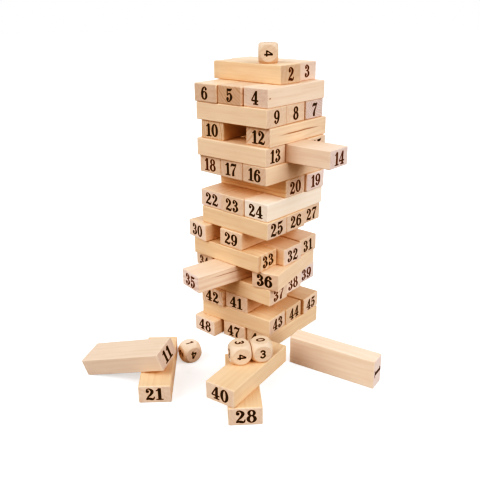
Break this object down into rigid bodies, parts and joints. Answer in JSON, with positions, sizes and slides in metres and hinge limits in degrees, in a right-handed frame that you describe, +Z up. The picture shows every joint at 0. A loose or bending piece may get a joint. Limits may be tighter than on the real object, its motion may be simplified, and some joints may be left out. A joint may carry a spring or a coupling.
{
  "type": "tumbling tower game",
  "caption": "Wooden tumbling tower part way through a game: numbered blocks stacked in crossed layers, some pulled out, some loose on the table, with number dice.",
  "frame": {"origin": "on the table, in the middle of the tower's foot, on the underside of block 47", "axes": "+Z up. Blocks of one kind of layer have their numbered ends facing +X, and those of the other kind facing -Y, so the two numbered sides of the tower are +X and -Y"},
  "size_m": [0.1991, 0.206, 0.2564],
  "materials": {
    "block_wood": "sanded, unvarnished",
    "die_wood": "sanded, waxed"
  },
  "bodies": {
    "block_01": {"block_01": "block_wood"},
    "block_02": {"block_02": "block_wood"},
    "block_03": {"block_03": "block_wood"},
    "block_04": {"block_04": "block_wood"},
    "block_05": {"block_05": "block_wood"},
    "block_06": {"block_06": "block_wood"},
    "block_07": {"block_07": "block_wood"},
    "block_08": {"block_08": "block_wood"},
    "block_09": {"block_09": "block_wood"},
    "block_10": {"block_10": "block_wood"},
    "block_11": {"block_11": "block_wood"},
    "block_12": {"block_12": "block_wood"},
    "block_13": {"block_13": "block_wood"},
    "block_14": {"block_14": "block_wood"},
    "block_15": {"block_15": "block_wood"},
    "block_16": {"block_16": "block_wood"},
    "block_17": {"block_17": "block_wood"},
    "block_18": {"block_18": "block_wood"},
    "block_19": {"block_19": "block_wood"},
    "block_20": {"block_20": "block_wood"},
    "block_21": {"block_21": "block_wood"},
    "block_22": {"block_22": "block_wood"},
    "block_23": {"block_23": "block_wood"},
    "block_24": {"block_24": "block_wood"},
    "block_25": {"block_25": "block_wood"},
    "block_26": {"block_26": "block_wood"},
    "block_27": {"block_27": "block_wood"},
    "block_28": {"block_28": "block_wood"},
    "block_29": {"block_29": "block_wood"},
    "block_30": {"block_30": "block_wood"},
    "block_31": {"block_31": "block_wood"},
    "block_32": {"block_32": "block_wood"},
    "block_33": {"block_33": "block_wood"},
    "block_34": {"block_34": "block_wood"},
    "block_35": {"block_35": "block_wood"},
    "block_36": {"block_36": "block_wood"},
    "block_37": {"block_37": "block_wood"},
    "block_38": {"block_38": "block_wood"},
    "block_39": {"block_39": "block_wood"},
    "block_40": {"block_40": "block_wood"},
    "block_41": {"block_41": "block_wood"},
    "block_42": {"block_42": "block_wood"},
    "block_43": {"block_43": "block_wood"},
    "block_44": {"block_44": "block_wood"},
    "block_45": {"block_45": "block_wood"},
    "block_46": {"block_46": "block_wood"},
    "block_47": {"block_47": "block_wood"},
    "block_48": {"block_48": "block_wood"},
    "die_on_tower": {"die_on_tower": "die_wood"},
    "die_on_table": {"die_on_table": "die_wood"},
    "die_on_block_left": {"die_on_block_left": "die_wood"},
    "die_on_block_right": {"die_on_block_right": "die_wood"}
  },
  "joints": [
    {"name": "slide_02", "type": "slide", "parent": "block_47", "child": "block_02", "axis": [-0.9995, 0.0332, 0], "range_m": [-0.0816, 0.0684]},
    {"name": "slide_03", "type": "slide", "parent": "block_47", "child": "block_03", "axis": [-0.9995, 0.0332, 0], "range_m": [-0.0845, 0.0655]},
    {"name": "slide_04", "type": "slide", "parent": "block_47", "child": "block_04", "axis": [-0.0035, 1, 0], "range_m": [-0.0777, 0.0723]},
    {"name": "slide_05", "type": "slide", "parent": "block_47", "child": "block_05", "axis": [-0.0035, 1, 0], "range_m": [-0.0751, 0.0749]},
    {"name": "slide_06", "type": "slide", "parent": "block_47", "child": "block_06", "axis": [-0.0035, 1, 0], "range_m": [-0.0735, 0.0765]},
    {"name": "slide_07", "type": "slide", "parent": "block_47", "child": "block_07", "axis": [-0.9997, -0.0244, 0], "range_m": [-0.0764, 0.0736]},
    {"name": "slide_08", "type": "slide", "parent": "block_47", "child": "block_08", "axis": [-0.9997, -0.0244, 0], "range_m": [-0.0765, 0.0735]},
    {"name": "slide_09", "type": "slide", "parent": "block_47", "child": "block_09", "axis": [-0.9997, -0.0244, 0], "range_m": [-0.0755, 0.0745]},
    {"name": "slide_10", "type": "slide", "parent": "block_47", "child": "block_10", "axis": [-0.0314, 0.9995, 0], "range_m": [-0.0758, 0.0742]},
    {"name": "slide_12", "type": "slide", "parent": "block_47", "child": "block_12", "axis": [0.0035, 1, 0], "range_m": [-0.0787, 0.0713]},
    {"name": "slide_13", "type": "slide", "parent": "block_47", "child": "block_13", "axis": [-0.9999, -0.014, 0], "range_m": [-0.0752, 0.0748]},
    {"name": "slide_14", "type": "slide", "parent": "block_47", "child": "block_14", "axis": [-0.9999, -0.014, 0], "range_m": [-0.0333, 0.1167]},
    {"name": "slide_15", "type": "slide", "parent": "block_47", "child": "block_15", "axis": [-0.9999, -0.014, 0], "range_m": [-0.0721, 0.0779]},
    {"name": "slide_16", "type": "slide", "parent": "block_47", "child": "block_16", "axis": [0.0262, 0.9997, 0], "range_m": [-0.0746, 0.0754]},
    {"name": "slide_17", "type": "slide", "parent": "block_47", "child": "block_17", "axis": [0.0262, 0.9997, 0], "range_m": [-0.0755, 0.0745]},
    {"name": "slide_18", "type": "slide", "parent": "block_47", "child": "block_18", "axis": [0.0262, 0.9997, 0], "range_m": [-0.0764, 0.0736]},
    {"name": "slide_19", "type": "slide", "parent": "block_47", "child": "block_19", "axis": [-1, 0.007, 0], "range_m": [-0.0718, 0.0782]},
    {"name": "slide_20", "type": "slide", "parent": "block_47", "child": "block_20", "axis": [-1, 0.007, 0], "range_m": [-0.0735, 0.0765]},
    {"name": "slide_22", "type": "slide", "parent": "block_47", "child": "block_22", "axis": [0.007, 1, 0], "range_m": [-0.0756, 0.0744]},
    {"name": "slide_23", "type": "slide", "parent": "block_47", "child": "block_23", "axis": [0.007, 1, 0], "range_m": [-0.0745, 0.0755]},
    {"name": "slide_24", "type": "slide", "parent": "block_47", "child": "block_24", "axis": [0.007, 1, 0], "range_m": [-0.0756, 0.0744]},
    {"name": "slide_25", "type": "slide", "parent": "block_47", "child": "block_25", "axis": [-0.9999, 0.0122, 0], "range_m": [-0.0724, 0.0776]},
    {"name": "slide_26", "type": "slide", "parent": "block_47", "child": "block_26", "axis": [-0.9999, 0.0122, 0], "range_m": [-0.0721, 0.0779]},
    {"name": "slide_27", "type": "slide", "parent": "block_47", "child": "block_27", "axis": [-0.9999, 0.0122, 0], "range_m": [-0.0747, 0.0753]},
    {"name": "slide_29", "type": "slide", "parent": "block_47", "child": "block_29", "axis": [0.007, 1, 0], "range_m": [-0.0725, 0.0775]},
    {"name": "slide_30", "type": "slide", "parent": "block_47", "child": "block_30", "axis": [0.165, 0.9863, 0], "range_m": [-0.0695, 0]},
    {"name": "slide_31", "type": "slide", "parent": "block_47", "child": "block_31", "axis": [-1, -0.007, 0], "range_m": [-0.0766, 0.0734]},
    {"name": "slide_32", "type": "slide", "parent": "block_47", "child": "block_32", "axis": [-1, -0.007, 0], "range_m": [-0.0729, 0.0771]},
    {"name": "slide_33", "type": "slide", "parent": "block_47", "child": "block_33", "axis": [-1, -0.007, 0], "range_m": [-0.0803, 0.0697]},
    {"name": "slide_34", "type": "slide", "parent": "block_47", "child": "block_34", "axis": [0.1685, 0.9857, 0], "range_m": [-0.0765, 0.03]},
    {"name": "slide_35", "type": "slide", "parent": "block_47", "child": "block_35", "axis": [0.1977, 0.9803, 0], "range_m": [-0.0356, 0]},
    {"name": "slide_36", "type": "slide", "parent": "block_47", "child": "block_36", "axis": [-0.2181, 0.9759, 0], "range_m": [-0.0753, 0.0747]},
    {"name": "slide_37", "type": "slide", "parent": "block_47", "child": "block_37", "axis": [-0.9997, -0.0262, 0], "range_m": [-0.0719, 0.0781]},
    {"name": "slide_38", "type": "slide", "parent": "block_47", "child": "block_38", "axis": [-0.9997, -0.0262, 0], "range_m": [-0.076, 0.074]},
    {"name": "slide_39", "type": "slide", "parent": "block_47", "child": "block_39", "axis": [-0.9997, -0.0262, 0], "range_m": [-0.0799, 0.0701]},
    {"name": "slide_41", "type": "slide", "parent": "block_47", "child": "block_41", "axis": [-0.061, 0.9981, 0], "range_m": [-0.0754, 0.0746]},
    {"name": "slide_42", "type": "slide", "parent": "block_47", "child": "block_42", "axis": [-0.061, 0.9981, 0], "range_m": [-0.0707, 0.0793]},
    {"name": "slide_43", "type": "slide", "parent": "block_47", "child": "block_43", "axis": [-0.9962, -0.0872, 0], "range_m": [-0.018, 0.0756]},
    {"name": "slide_44", "type": "slide", "parent": "block_47", "child": "block_44", "axis": [-0.9962, -0.0872, 0], "range_m": [-0.0757, 0.0743]},
    {"name": "slide_45", "type": "slide", "parent": "block_47", "child": "block_45", "axis": [-0.9962, -0.0872, 0], "range_m": [-0.076, 0.074]},
    {"name": "slide_46", "type": "slide", "parent": "block_47", "child": "block_46", "axis": [-0.0227, 0.9997, 0], "range_m": [-0.03, 0.0714]},
    {"name": "slide_48", "type": "slide", "parent": "block_47", "child": "block_48", "axis": [0.0087, 1, 0], "range_m": [-0.025, 0.084]},
    {"name": "lift_01", "type": "slide", "parent": "block_47", "child": "block_01", "axis": [0, 0, 1], "range_m": [0, 0.06]},
    {"name": "lift_21", "type": "slide", "parent": "block_47", "child": "block_21", "axis": [0, 0, 1], "range_m": [0, 0.06]},
    {"name": "lift_11", "type": "slide", "parent": "block_21", "child": "block_11", "axis": [0, 0, 1], "range_m": [0, 0.04]},
    {"name": "lift_28", "type": "slide", "parent": "block_47", "child": "block_28", "axis": [0, 0, 1], "range_m": [0, 0.06]},
    {"name": "lift_40", "type": "slide", "parent": "block_28", "child": "block_40", "axis": [0, 0, 1], "range_m": [0, 0.04]},
    {"name": "lift_on_tower", "type": "slide", "parent": "block_02", "child": "die_on_tower", "axis": [0, 0, 1], "range_m": [0, 0.04]},
    {"name": "lift_on_table", "type": "slide", "parent": "block_47", "child": "die_on_table", "axis": [0, 0, 1], "range_m": [0, 0.04]},
    {"name": "lift_on_block_left", "type": "slide", "parent": "block_40", "child": "die_on_block_left", "axis": [0, 0, 1], "range_m": [0, 0.04]},
    {"name": "lift_on_block_right", "type": "slide", "parent": "block_40", "child": "die_on_block_right", "axis": [0, 0, 1], "range_m": [0, 0.04]}
  ]
}
